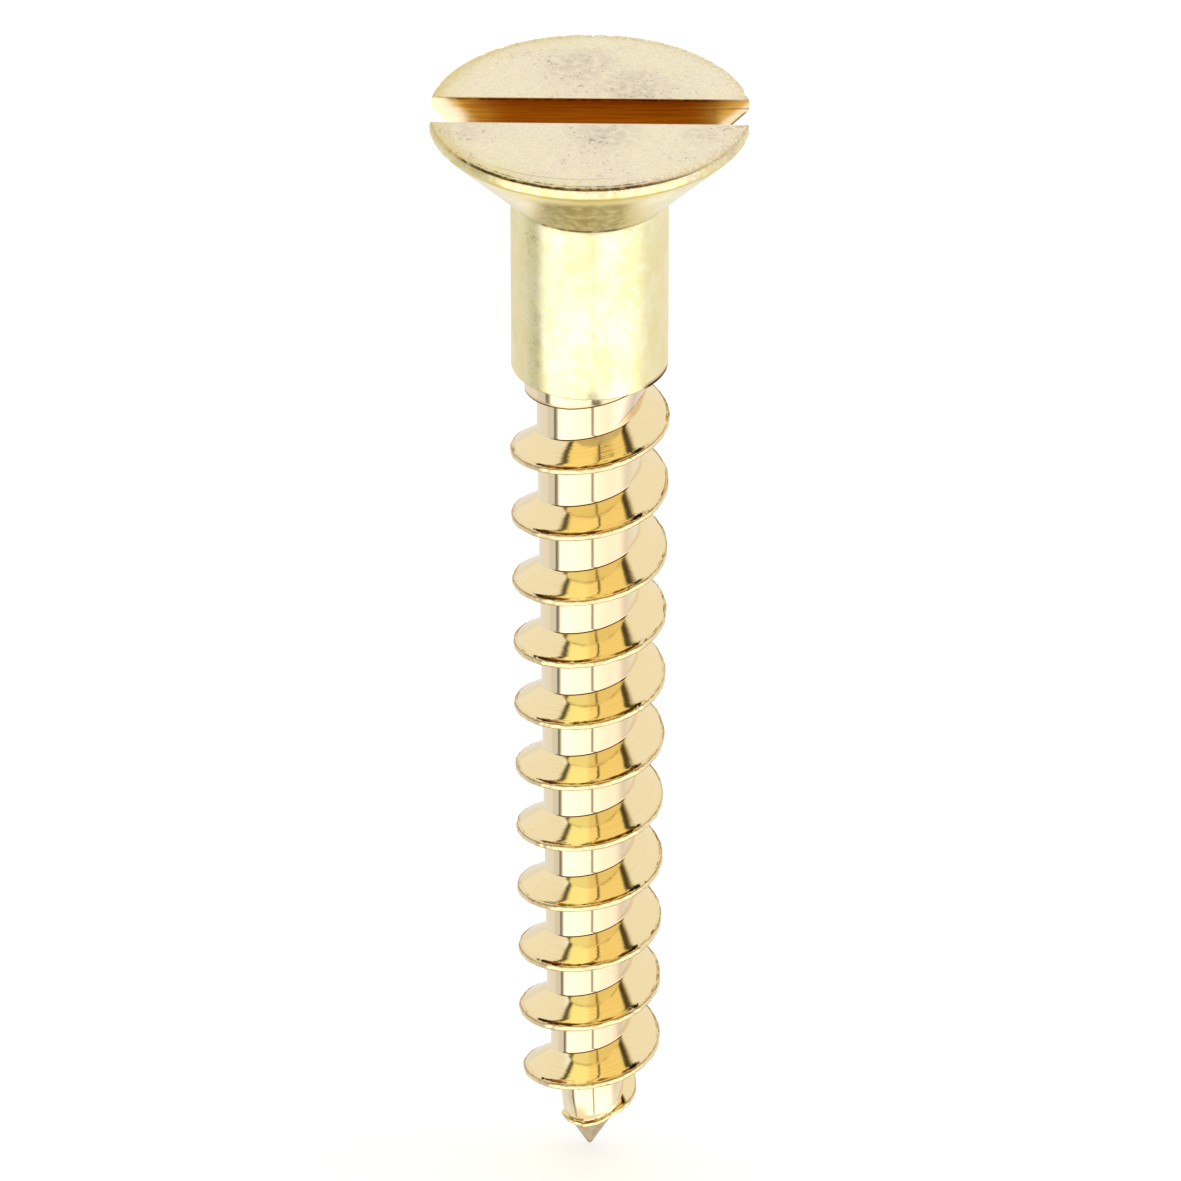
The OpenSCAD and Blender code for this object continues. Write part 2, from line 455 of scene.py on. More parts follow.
# Painted amber reflections run down the shank's left and right sides.
shank_side_reflection = n.times(n.share(n.math("ABSOLUTE", x), 1.6, 2.2), n.share(from_axis, 2.7, 2.5))
on_rim = n.times(n.band(z, RIM_END_MM - 0.02, -0.1, 0.03), n.share(from_axis, 4.6, 4.8))
under_rim = n.band(z, RIM_END_MM - 0.1, RIM_END_MM + 0.02, 0.03)
side_tone = n.painted(
    SHANK_COLOUR,
    (SHANK_PALE, n.share(drawn_clouds, 0.38, 0.64, True)),
    (SHANK_DULL, n.times(n.share(small_clouds, 0.45, 0.7), 0.35)),
    (MOTTLE_PALE, n.times(n.share(mottle, 0.5, 0.62, True), 0.42)),
    (MOTTLE_DEEP, n.times(n.share(mottle, 0.46, 0.36, True), 0.3)),
    (SIDE_REFLECTION_AMBER, n.times(shank_side_reflection, 0.6)),
    (RIM_GOLD, n.times(on_rim, n.share(small_clouds, 0.4, 0.6))),
    (RIM_SHADE, n.times(under_rim, 0.7)),
)

# The cone has a painted pale reflection, a streaked painted olive reflection in front and painted
# shade in the groove under it.
whole_cone = n.band(z, HEAD_END_MM, -0.6, 0.1)
in_front = n.times(n.band(x, -1.45, 1.25, 0.4), n.share(y, 0.3, -0.3))
front_of_cone = n.times(n.band(z, HEAD_END_MM, -0.8, 0.2), in_front)
reflection_streaks = n.noise(n.stretched(place, (3.5, 3.5, 0.5)), 1.0, 3.0, 17.0)
# Painted shade in the groove under the cone, broken by noise.
under_cone = n.times(
    n.band(z, HEAD_END_MM - 0.04, HEAD_END_MM + 0.07, 0.03), n.band(x, -1.5, 1.1, 0.3))
groove_shade_breaks = n.share(n.noise(place, 0.3, 3.0, 3.0), 0.4, 0.56)
tone = n.painted(
    n.colour(side_tone, face_tone, n.share(z, -0.3, -0.05, True)),
    (CONE_REFLECTION_SILVER, n.times(whole_cone, 0.6)),
    (CONE_REFLECTION_OLIVE, n.times(front_of_cone, n.share(reflection_streaks, 0.95, 0.4))),
    (GROOVE_SHADE, n.times(under_cone, groove_shade_breaks, 0.9)),
)

# Worn grey patches on the face with specks and pits, faint scratches all over, and
# a soiled stripe that runs down the shank to the left of its front.
worn_patch = n.highest(
    n.spot(place, (1.3, 1.5, 0), 1.7),
    n.spot(place, (0.5, -1.5, 0), 1.5),
    n.spot(place, (-0.3, 2.9, 0), 1.6),
    n.times(n.spot(place, (-3.9, -1.3, 0), 1.0), 0.6),
    n.times(n.spot(place, (3.4, -1.5, 0), 0.9), 0.6),
)
worn_patch = n.times(worn_patch, on_face, n.share(small_clouds, 0.3, 0.6, True))
soiled_stripe = n.times(n.band(around, -141, -128, 4), on_shank)
green_stripe = n.times(n.band(around, -140, -129, 3), on_shank)
soil_depth = n.highest(n.mix(0.12, 0.95, worn_patch), n.times(soiled_stripe, 0.45))
soil = n.times(n.share(skin["Specks"], 0.12, 0.55), soil_depth)
pit_noise = n.noise(place, 0.15, 2.0, 61.0)
pits = n.times(n.share(pit_noise, 0.61, 0.66), n.share(big_clouds, 0.42, 0.56), on_face)
tone = n.painted(
    tone,
    (STRIPE_GREEN, n.times(green_stripe, 0.35)),
    (SPECK_BROWN, soil),
    (WORN_GREY, n.times(worn_patch, 0.75)),
    (PIT_BROWN, n.times(pits, n.mix(0.45, 0.8, worn_patch))),
    (SCRATCH_BROWN, n.times(skin["Scratches"], n.mix(0.12, 0.08, on_face))),
)

# Broken lines round the edge of the face, darkened by painted shade in front, an off-centre mark of
# the turning tool inside them, and scuffs on the rim and the shank.
front_of_rim = n.band(around, -138, -66, 10)
broken = n.share(n.noise(place, 0.2, 3.0, 15.0), 0.38, 0.5, True)
outer_line = n.times(n.band(from_edge, 0.02, 0.08, 0.02), on_face)
inner_line = n.times(
    n.band(from_edge, 0.17, 0.22, 0.02), on_face, front_of_rim, n.share(small_clouds, 0.35, 0.6))
front_shade_lines = n.highest(n.times(outer_line, front_of_rim), n.times(inner_line, broken))
shank_scuffs = n.highest(
    n.spot(place, (-1.75, -1.7, -3.5), 0.45), n.spot(place, (1.4, -2.0, -2.95), 0.5))
rim_scuffs = n.highest(
    n.spot(place, (3.2, -3.78, -0.2), 0.4), n.spot(place, (4.4, -2.3, -0.2), 0.5))
off_centre_ring = n.band(n.distance(place, (-0.25, 0.35, 0)), 4.66, 4.70, 0.02)
tone = n.painted(
    tone,
    (RIM_LINE_GOLD, n.times(outer_line, n.mix(0.45, 0.7, grain))),
    (RIM_LINE_SHADE, n.times(front_shade_lines, n.mix(0.45, 0.95, broken))),
    (SCUFF_BROWN, n.times(shank_scuffs, n.share(grain, 0.5, 0.62), 0.6)),
    (SCUFF_PINK, n.times(rim_scuffs, n.share(grain, 0.4, 0.55), 0.7)),
    (TURNED_BROWN, n.times(off_centre_ring, on_face, n.band(around, -128, -80, 6), 0.5)),
)

# The shoulder's edge carries painted shade, darkest right of the front, where it is rolled over,
# and the knock in it holds some soil.
near_shoulder = n.share(z, SHOULDER_MM + 0.85, SHOULDER_MM + 0.45)
hooked = n.band(around, -44, -10, 5)
hook_shade = n.times(n.share(z, SHOULDER_MM + 0.24, SHOULDER_MM + 0.06), near_shoulder)
hook_edge = n.times(n.share(z, SHOULDER_MM + 0.15, SHOULDER_MM + 0.07), hooked)
whole_edge = n.times(n.share(z, SHOULDER_MM + 0.05, SHOULDER_MM + 0.03), 0.3)
painted_edge_shade = n.times(n.highest(whole_edge, hook_edge), near_shoulder)
knock_soil = n.spot(place, (0.16, -2.42, SHOULDER_MM + 0.1), 0.4)
tone = n.painted(
    tone,
    (HOOK_SHADE_BROWN, n.times(hook_shade, hooked)),
    (EDGE_SHADE_BLACK, painted_edge_shade),
    (KNOCK_GREY, n.times(knock_soil, n.mix(0.2, 0.7, small_clouds))),
)

# The slot's walls show the saw's streaks. A painted shadow darkens them along the top, and painted
# light makes them pale at both ends, where the slot opens.
in_slot = n.times(
    n.share(n.math("ABSOLUTE", y), SLOT_SIDE_MM + 0.07, SLOT_SIDE_MM + 0.01, True),
    n.share(z, -0.01, -0.06, True),
    n.share(z, SLOT_FLOOR_MM - 0.06, SLOT_FLOOR_MM - 0.02),
)
streak = n.noise(n.stretched(place, (0.35, 3.0, 16.0)), 1.0, 3.0, 6.0)
top_shadow_line = n.times(n.share(z, -0.14, -0.08), n.share(small_clouds, 0.36, 0.6))
lit_left_end = n.share(n.math("MULTIPLY_ADD", z, 1.1, x), -4.15, -4.75, True)
lit_right_end = n.share(n.math("MULTIPLY_ADD", z, -1.2, x), 4.82, 5.15, True)
right_highlight = n.times(n.share(x, 3.0, 4.7), n.share(streak, 0.65, 0.4))
upper_right = n.times(n.share(x, 3.5, 4.0), n.share(z, -1.1, -0.6))
at_right = n.share(x, 3.9, 4.3)
saw_mark = n.times(n.band(z, -0.35, -0.31, 0.02), at_right, n.mix(0.4, 0.9, small_clouds))
# All over the cone, the distance from the axis less the height is the same.
cone_sum = HEAD_R_MM - RIM_END_MM
by_cone = n.share(n.math("SUBTRACT", from_axis, z), cone_sum - 0.11, cone_sum - 0.06)
cone_edge = n.times(by_cone, n.share(z, -0.4, -0.5), at_right)
sawn_tone = n.painted(
    SAWN_COLOUR,
    (SAWN_DEEP, n.share(streak, 0.35, 0.68)),
    (SAWN_DEEP, n.times(n.share(z, -0.3, -0.06), 0.8)),
    (SAWN_EDGE_SHADOW, n.times(top_shadow_line, 0.85)),
    (SAWN_DEEP, n.times(upper_right, 0.75)),
    (SAWN_LIT_PALE, lit_left_end),
    (SAWN_LIT_CREAM, n.highest(n.times(lit_right_end, 0.9), n.times(right_highlight, 0.18))),
    (SAW_MARK, n.highest(saw_mark, n.times(cone_edge, 0.85))),
)
n.feed(shader.inputs["Base Color"], n.colour(tone, sawn_tone, in_slot))
rough = n.layered(
    n.mix(0.26, 0.38, skin["Clouds"]),
    (0.5, n.highest(soil, n.times(front_of_cone, 0.3))),
    (0.8, painted_edge_shade),
    (n.mix(0.24, 0.36, streak), in_slot),
)
n.feed(shader.inputs["Roughness"], rough)
relief = n.total(
    n.times(skin["Clouds"], 1.5), n.times(skin["Specks"], -0.8),
    n.times(skin["Scratches"], -0.8), n.times(streak, in_slot, 6.0))
n.feed(shader.inputs["Normal"], n.bump(relief, 0.002 * MM, 0.7))
head.data.materials.clear()
head.data.materials.append(tumbled)
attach(head, "root")
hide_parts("head")


# ---------------------------------------------------------------------------
# Shank. The plain cylinder between head and thread, full gauge, ending in a
# square shoulder where the thread tool started its cut. Same tumbled brass.
# ---------------------------------------------------------------------------
SHOULDER_EDGE_RADIUS = 0.03 * MM
KNOCK_ANGLE = 272
KNOCK_HALF_WIDTH = 0.12 * MM

shank_outline = [
    (0, HEAD_END),
    (SHANK_R - 0.02 * MM, HEAD_END),
    (SHANK_R - 0.02 * MM, HEAD_END - 0.03 * MM),
    (SHANK_R - 0.005 * MM, HEAD_END - 0.08 * MM),
    (SHANK_R, HEAD_END - 0.2 * MM),
    (SHANK_R, (HEAD_END + SHOULDER) / 2),
    (SHANK_R, SHOULDER + 0.3 * MM),
    (SHANK_R, SHOULDER + 0.12 * MM),
    *arc((SHANK_R - SHOULDER_EDGE_RADIUS, SHOULDER + SHOULDER_EDGE_RADIUS),
         SHOULDER_EDGE_RADIUS, 0, -90, 4),
    (0, SHOULDER),
]


def worn_shoulder(radius, height, angle):
    """A rough edge round the shoulder, with a small knock at the front."""
    if height > SHOULDER + 0.05 * MM or radius < 2 * MM:
        return radius, height
    from_knock = abs(math.remainder(angle - math.radians(KNOCK_ANGLE), math.tau)) * radius
    knock = max(0.0, 1 - from_knock / KNOCK_HALF_WIDTH)
    rough_edge = noise_round(angle, 9, 1)
    return radius - (0.025 * knock + 0.008 * rough_edge) * MM, height + 0.02 * knock * MM


shank = lathe("shank_body", shank_outline, HEAD_STEPS, worn_shoulder)
shank.data.materials.append(tumbled)
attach(shank, "root")
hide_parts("shank")


# ---------------------------------------------------------------------------
# Thread. One right-hand ridge, wound twelve times round a tapering brass core,
# from the neck under the shoulder to a thin lip round the point. A single tool
# cuts it after the tumbling, so it is bright, with a torn burr along its crest.
# ---------------------------------------------------------------------------
point_low, point_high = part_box("point")
SECTIONS_PER_TURN = 240
SPARE_TURNS = 1
BURR_SEED = 7
# Turns between which the lift of the first turns grows, and between which it settles.
LIFT_GROWS = (0.25, 0.55)
LIFT_SETTLES = (3.2, 1.0)

# Colours of the cut thread; some of them are painted highlight, reflection and shade.
CUT_COLOUR = (0.93, 0.76, 0.44, 1)
CUT_DEEP = (0.86, 0.64, 0.3, 1)
CUT_HIGHLIGHT = (1.0, 0.97, 0.66, 1)
CUT_SPECK = (0.55, 0.42, 0.25, 1)
CREST_GOLD = (0.75, 0.5, 0.16, 1)
FLOOR_PALE = (0.93, 0.78, 0.52, 1)
FLOOR_REFLECTION_PINK = (0.74, 0.56, 0.37, 1)
FIRST_FLOOR_SHADE = (0.84, 0.68, 0.5, 1)
UNDERSIDE_SHADE = (0.57, 0.46, 0.2, 1)
BURR_AND_SHADE_BROWN = (0.22, 0.1, 0.03, 1)
LEDGE_SHADE_BROWN = (0.16, 0.06, 0.012, 1)
NECK_SOIL = (0.12, 0.09, 0.05, 1)

# One pitch of the thread's cross-section. Each point has its height up the
# ridge, its side of the crest, its share of the groove's floor and its share of
# the burr. The last point is the first one again, a turn further up.
section = [(height, -1.0, 0.0, 0.0) for height in (0.0, 0.05, 0.5, 0.9, 0.985)]
section += [
    (1.0, -1.0, 0.0, -0.3), (1.0, -0.6, 0.0, 0.0), (1.0, 0.0, 0.0, 0.0),
    (0.998, 0.6, 0.0, 0.0), (0.992, 0.86, 0.0, 0.05), (0.983, 0.98, 0.0, 0.15),
    (0.972, 1.0, 0.0, 0.2), (0.955, 1.0, 0.0, 0.05), (0.935, 1.0, 0.0, -0.35),
    (0.915, 1.0, 0.0, -0.7), (0.895, 1.0, 0.0, -0.85), (0.875, 1.0, 0.0, -0.65),
    (0.855, 1.0, 0.0, -0.25), (0.835, 1.0, 0.0, 0.0), (0.79, 1.0, 0.0, 0.05),
    (0.72, 1.0, 0.0, 0.0), (0.4, 1.0, 0.0, 0.0), (0.12, 1.0, 0.0, 0.0),
    (0.025, 1.0, 0.0, 0.0), (0.0, 1.0, 0.0, 0.0),
]
section += [(0.0, 1.0, share, 0.0) for share in (0.07, 0.14, 0.5, 0.9, 0.98)]
section += [(0.0, -1.0, 1.0, 0.0)]

# Sizes in millimetres, slopes as tangents, angles in radians.
thread_sizes = {
    "Pitch": 2.285,
    "Shoulder height": SHOULDER_MM,
    "Cone height": point_high.z / MM,
    "Nose height": point_high.z / MM + 4.3,
    "Crest radius at shoulder": 2.53,
    "Crest radius at nose": 2.27,
    "Crest nose power": 5.0,
    "Core radius at shoulder": 1.69,
    "Core radius at nose": 1.38,
    "Core nose power": 2.0,
    "Neck radius": 2.03,
    "Neck turns": 0.45,
    "Growth turns": 0.5,
    "Step fade turns": 0.16,
    "Straight core radius": 0.91,
    "Straight core height": point_high.z / MM - 0.35,
    "Tip height": point_low.z / MM,
    "Cone radius": point_high.x / MM,
    "Crest land": 0.11,
    "Least ridge": 0.06,
    "Crest wear": 0.035,
    "Upper flank slope": math.tan(math.radians(37)),
    "Lower flank slope": math.tan(math.radians(17)),
    "Runout angle": math.radians(342),
    "Early lift": 0.25,
    "Ridge end": 0.2,
    "Lip reach": 0.4,
    "Lip rise": 0.06,
    "Lip width": 0.18,
    "Lip widening": 0.6,
    "Widest lip": 0.33,
    "Burr height": 0.11,
}


def thread_tree():
    """Winds the section, held by the object's own points, along the helix."""
    tree = bpy.data.node_groups.new("wound_thread", "GeometryNodeTree")
    sockets = {"Geometry": "NodeSocketGeometry"}
    sockets.update((name, "NodeSocketFloat") for name in thread_sizes)
    sockets.update((name, "NodeSocketInt") for name in (
        "Sections", "Sections per turn", "Points per section", "Seed"))
    sockets["Material"] = "NodeSocketMaterial"
    for name, kind in sockets.items():
        tree.interface.new_socket(name, in_out="INPUT", socket_type=kind)
    tree.interface.new_socket("Geometry", in_out="OUTPUT", socket_type="NodeSocketGeometry")
    n = Nodes(tree)
    size = n.put("NodeGroupInput").outputs

    # Which section each point belongs to, and what the section says there.
    index = n.put("GeometryNodeInputIndex").outputs[0]
    row = n.math("FLOOR", n.math("DIVIDE", index, size["Points per section"]))
    column = n.math("MODULO", index, size["Points per section"])

    def of_section(name):
        held = n.put("GeometryNodeInputNamedAttribute", {"Name": name}).outputs["Attribute"]
        node = n.put("GeometryNodeSampleIndex", {"Geometry": size["Geometry"], "Index": column})
        n.feed(node.inputs["Value"], held)
        return node.outputs["Value"]

    height, side, floor, burr = (of_section(name) for name in ("height", "side", "floor", "burr"))
    again = n.math("GREATER_THAN", floor, 0.999)
    floor = n.times(floor, n.math("SUBTRACT", 1.0, again))
    is_upper = n.math("GREATER_THAN", side, 0.0)
    on_floor = n.math("GREATER_THAN", floor, 0.0)

    # How many turns are left up to the shoulder, and where the ridge is there.
    rows_left = n.math("SUBTRACT", size["Sections"], row)
    left = n.math("DIVIDE", rows_left, size["Sections per turn"])
    left = n.math("SUBTRACT", n.math("SUBTRACT", left, float(SPARE_TURNS)), again)
    angle = n.math("MULTIPLY_ADD", left, -math.tau, size["Runout angle"])
    centre = n.math(
        "MULTIPLY_ADD", left, n.math("MULTIPLY", size["Pitch"], -1.0), size["Shoulder height"])
    lift = n.times(size["Early lift"], n.share(left, *LIFT_GROWS), n.share(left, *LIFT_SETTLES))
    centre = n.math("ADD", centre, lift)

    # How far out the crest and the grooves are. Both narrow along the nose.
    low = size["Cone height"]
    nose = n.share(centre, size["Nose height"], n.math("ADD", low, size["Ridge end"]))
    body = n.share(centre, size["Nose height"], size["Shoulder height"])
    crest = n.mix(size["Crest radius at nose"], size["Crest radius at shoulder"], body)
    crest = n.mix(crest, size["Cone radius"], n.math("POWER", nose, size["Crest nose power"]))
    groove = n.mix(size["Core radius at nose"], size["Core radius at shoulder"], body)
    narrowed = n.share(centre, size["Nose height"], size["Straight core height"])
    narrowed = n.math("POWER", narrowed, size["Core nose power"])
    groove = n.mix(groove, size["Straight core radius"], narrowed)

    # The ridge runs out as a thin lip round the top of the cone and breaks off.
    on_lip = n.math("GREATER_THAN", centre, n.math("SUBTRACT", low, size["Lip reach"]))
    lifted = n.math("MAXIMUM", centre, n.math("ADD", low, size["Lip rise"]))
    ridge_centre = n.mix(centre, lifted, on_lip)
    above_cone = n.math("SUBTRACT", centre, low)
    lip = n.math("MULTIPLY_ADD", above_cone, size["Lip widening"], size["Lip width"])
    lip = n.math("MINIMUM", n.math("MAXIMUM", lip, size["Lip width"]), size["Widest lip"])
    crest = n.math("MAXIMUM", crest, n.math("ADD", size["Cone radius"], n.times(lip, on_lip)))

    # Under the shoulder the ridge grows out of a neck that is level with it.
    neck = size["Neck radius"]
    fade = size["Step fade turns"]
    grown = n.math("ADD", size["Neck turns"], size["Growth turns"])
    growth = n.share(left, size["Neck turns"], grown)
    core = n.math("MINIMUM", groove, n.math("SUBTRACT", crest, size["Least ridge"]))
    ridge = n.mix(neck, crest, growth)
    upper_root = n.mix(neck, core, growth)
    lower_root = n.mix(neck, core, n.share(left, 0.0, fade))
    groove_start = n.mix(neck, groove, growth)
    groove_end = n.mix(neck, groove, n.share(left, 1.0, n.math("ADD", fade, 1.0)))

    # How torn the crest is: long lumps, teeth on them and fine nibs on those.
    round_spot = n.point(
        n.times(n.math("COSINE", angle), 2.4), n.times(n.math("SINE", angle), 2.4), centre)
    lumps = n.share(n.noise(round_spot, 1.4, 1.0, size["Seed"]), 0.38, 0.6, True)
    teeth = n.share(n.noise(round_spot, 0.3, 3.0, size["Seed"]), 0.38, 0.64)
    nibs = n.share(n.noise(round_spot, 0.13, 1.0, size["Seed"]), 0.35, 0.65)
    torn = n.times(n.mix(0.5, 1.1, teeth), n.mix(0.35, 1.0, lumps), n.mix(0.7, 1.15, nibs))
    torn = n.times(torn, growth, n.math("SUBTRACT", 1.0, n.math("POWER", nose, 2.0)))

    # Where the point lies across the ridge, and how high it lies.
    half = n.math("MULTIPLY", size["Crest land"], 0.5)
    upper_rise = n.times(n.math("SUBTRACT", ridge, upper_root), size["Upper flank slope"])
    lower_rise = n.times(n.math("SUBTRACT", ridge, lower_root), size["Lower flank slope"])
    root = n.mix(lower_root, upper_root, is_upper)
    rise = n.mix(n.math("MULTIPLY", lower_rise, -1.0), upper_rise, is_upper)
    radius = n.mix(
        n.mix(root, ridge, height), n.mix(groove_start, groove_end, floor), on_floor)
    worn_back = n.times(n.share(height, 0.9, 1.0), teeth, growth, size["Crest wear"])
    radius = n.math("SUBTRACT", radius, worn_back)
    up_flank = n.math("MULTIPLY", n.math("SUBTRACT", 1.0, height), rise)
    ridge_z = n.math("ADD", ridge_centre, n.math("MULTIPLY_ADD", side, half, up_flank))
    root_z = n.math("ADD", ridge_centre, n.math("ADD", half, upper_rise))
    next_turn = n.math("SUBTRACT", size["Pitch"], n.math("ADD", half, lower_rise))
    floor_offset = n.mix(n.math("ADD", half, upper_rise), next_turn, floor)
    floor_z = n.math("MAXIMUM", n.math("ADD", centre, floor_offset), root_z)
    z = n.mix(ridge_z, floor_z, on_floor)
    z = n.math("ADD", z, n.times(burr, torn, size["Burr height"]))

    # The core never leaves the cone that ends in the tip, and nothing lies below
    # the cone's top or above the shoulder.
    above_tip = n.math("SUBTRACT", n.math("MAXIMUM", z, low), size["Tip height"])
    cone_rise = n.math("SUBTRACT", low, size["Tip height"])
    cone = n.math("DIVIDE", n.times(size["Cone radius"], above_tip), cone_rise)
    radius = n.mix(n.math("MINIMUM", radius, cone), radius, height)
    radius = n.mix(size["Cone radius"], radius, n.math("GREATER_THAN", z, low))
    z = n.math("MINIMUM", n.math("MAXIMUM", z, low), size["Shoulder height"])
    place = n.point(
        n.math("MULTIPLY", radius, n.math("COSINE", angle)),
        n.math("MULTIPLY", radius, n.math("SINE", angle)), z)
    scaled = n.put("ShaderNodeVectorMath", {0: place, "Scale": MM}, operation="SCALE").outputs[0]

    # The sheet of points that is wound up, and the values that the material reads.
    sheet = n.put("GeometryNodeMeshGrid", {
        "Vertices X": n.math("ADD", size["Sections"], 1.0),
        "Vertices Y": size["Points per section"],
    }).outputs["Mesh"]
    made = n.put("GeometryNodeSetPosition", {"Geometry": sheet, "Position": scaled}).outputs[0]
    kept_values = {"height": height, "side": side, "floor": floor, "turns": left, "torn": torn}
    for name, value in kept_values.items():
        kept = n.put("GeometryNodeStoreNamedAttribute", {"Geometry": made, "Name": name},
                     domain="POINT", data_type="FLOAT")
        n.feed(kept.inputs["Value"], value)
        made = kept.outputs[0]
    merged = n.put("GeometryNodeMergeByDistance", {"Geometry": made, "Distance": 0.0002 * MM})
    whole = n.put("GeometryNodeRealizeInstances", {"Geometry": merged.outputs[0]})
    done = n.put("GeometryNodeSetMaterial", {
        "Geometry": whole.outputs[0], "Material": size["Material"]})
    n.put("NodeGroupOutput", {0: done.outputs[0]})
    return tree


cut_brass, n, shader = new_material("cut_brass")
place, x, _, z = n.millimetres()
skin = n.group(tumbled_skin, {"Place": place, "Cloud size": 0.5, "Seed": 5.0})
height, side, floor, turns, torn = (
    n.put("ShaderNodeAttribute", attribute_name=name).outputs["Fac"]
    for name in ("height", "side", "floor", "turns", "torn"))
upper = n.share(side, 0.9, 1.0)
on_flank = n.times(upper, n.share(height, 0.0, 0.04))
on_floor = n.share(floor, 0.0, 0.001)
# Painted shade on the ridge's downward-facing lower flank.
underside_shade = n.times(n.share(side, -0.9, -1.0), n.share(height, 0.99, 0.9))
at_side = n.share(n.math("ABSOLUTE", x), 0.9, 1.5)

# Marks of the thread tool, drawn out along the turn.
grooves = n.noise(n.point(n.times(height, 26.0), n.times(turns, 2.2), side), 1.0, 2.0, 3.0)
wide_grooves = n.noise(n.point(n.times(height, 9.0), n.times(turns, 3.0), side), 1.0, 1.0, 8.0)
drawn = n.noise(n.point(n.times(height, 30.0), n.times(turns, 9.0), side), 1.0, 3.0, 6.0)

# The burr: brown tears near the crest, a thin dark line along it, and nicks; on the left, a line of
# painted shade along the crest as well.
ragged = n.noise(place, 0.16, 3.0, 6.0)
edge_place = n.math("MULTIPLY_ADD", ragged, 0.08, height)
at_edge = n.times(n.share(edge_place, 0.84, 0.98), upper)
tears = n.times(
    n.share(edge_place, 0.9, 0.97), upper, n.share(drawn, 0.5, 0.58, True),
    n.share(torn, 0.3, 0.8, True), n.mix(0.65, 1.0, n.share(turns, 2.2, 1.6)))
thin_line = n.times(
    upper, n.band(height, 0.925, 0.97, 0.012), n.mix(0.1, 0.8, n.share(ragged, 0.38, 0.58)))
left_shade_line = n.times(
    n.share(x, -1.2, -1.8), n.band(height, 0.94, 0.99, 0.012), n.mix(0.3, 0.9, ragged))
nicks = n.times(n.share(height, 0.93, 0.98), n.share(ragged, 0.66, 0.73, True), 0.8)
burr = n.highest(n.times(tears, 0.85), thin_line, left_shade_line, nicks)

# The grooves' floors have a painted pinkish reflection right of the middle, and the first one
# painted shade further right. Left of the middle, a painted highlight brightens the flank on the
# lower turns.
floor_pink_reflection = n.times(
    on_floor, n.share(x, -0.8, 0.6), n.share(x, 1.4, 0.8), n.share(z, -35.8, -34.8))
first_floor_shade = n.times(n.band(turns, 0.4, 1.2, 0.1), on_floor, n.share(x, 0.6, 1.0))
half_highlight = n.times(on_flank, n.band(x, -0.75, 0.0, 0.1), n.share(turns, 2.0, 4.0))
at_neck = n.times(n.share(turns, 0.9, 0.6), n.share(turns, 0.02, 0.1))
# Painted shade under the ridge's crest where it leaves the neck.
ledge_shade = n.times(n.share(side, 0.3, -0.5), n.share(height, 0.9, 0.99), at_neck)
neck_soil = n.spot(place, (0.27, -2.0, SHOULDER_MM - 0.33), 0.24)
cut_tone = n.painted(
    CUT_COLOUR,
    (CUT_DEEP, n.times(n.share(grooves, 0.45, 0.72), on_flank, n.mix(0.7, 0.2, at_side))),
    (CUT_SPECK, n.times(skin["Specks"], 0.12)),
    (CREST_GOLD, n.times(at_edge, 0.12)),
    (FLOOR_PALE, on_floor),
    (FLOOR_REFLECTION_PINK, floor_pink_reflection),
    (FIRST_FLOOR_SHADE, first_floor_shade),
    (CUT_HIGHLIGHT, n.times(half_highlight, 0.75)),
    (UNDERSIDE_SHADE, underside_shade),
    (BURR_AND_SHADE_BROWN, n.times(burr, 0.9)),
    (LEDGE_SHADE_BROWN, ledge_shade),
    (NECK_SOIL, n.times(neck_soil, 0.9)),
)
n.feed(shader.inputs["Base Color"], cut_tone)
rough = n.layered(
    n.mix(0.06, 0.1, n.times(grooves, on_flank)),
    (0.3, n.share(height, 0.97, 1.0)),
    (0.4, burr),
)
n.feed(shader.inputs["Roughness"], rough)
relief = n.total(
    n.times(grooves, on_flank, n.mix(0.22, 0.1, at_side)), n.times(wide_grooves, on_flank, 0.1),
    n.times(burr, -1.5), n.times(skin["Clouds"], 0.15), n.times(drawn, at_edge, 9.0))
n.feed(shader.inputs["Normal"], n.bump(relief, 0.003 * MM, 0.8))

mesh = bpy.data.meshes.new("thread_section")
mesh.from_pydata([(k, 0, 0) for k in range(len(section))], [], [])
for k, name in enumerate(("height", "side", "floor", "burr")):
    held = mesh.attributes.new(name, "FLOAT", "POINT")
    held.data.foreach_set("value", [point[k] for point in section])
thread = link_object("thread_body", mesh)
winding = thread.modifiers.new("winding", "NODES")
winding.node_group = thread_tree()
turns_long = (thread_sizes["Shoulder height"] - thread_sizes["Cone height"]) / thread_sizes["Pitch"]
settings = dict(thread_sizes)
settings["Sections"] = math.ceil((turns_long + 2 * SPARE_TURNS) * SECTIONS_PER_TURN)
settings["Sections per turn"] = SECTIONS_PER_TURN
settings["Points per section"] = len(section)
settings["Seed"] = BURR_SEED
settings["Material"] = cut_brass
for item in winding.node_group.interface.items_tree:
    if item.in_out == "INPUT" and item.name in settings:
        winding[item.identifier] = settings[item.name]
thread = baked(thread, "thread_body")

# The two flat ends are closed, where the thread meets the shank and the point.
shape = bmesh.new()
shape.from_mesh(thread.data)
bmesh.ops.holes_fill(shape, edges=shape.edges)
bmesh.ops.recalc_face_normals(shape, faces=shape.faces)
shape.to_mesh(thread.data)
shape.free()
thread.data.shade_smooth()
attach(thread, "root")
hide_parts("thread")


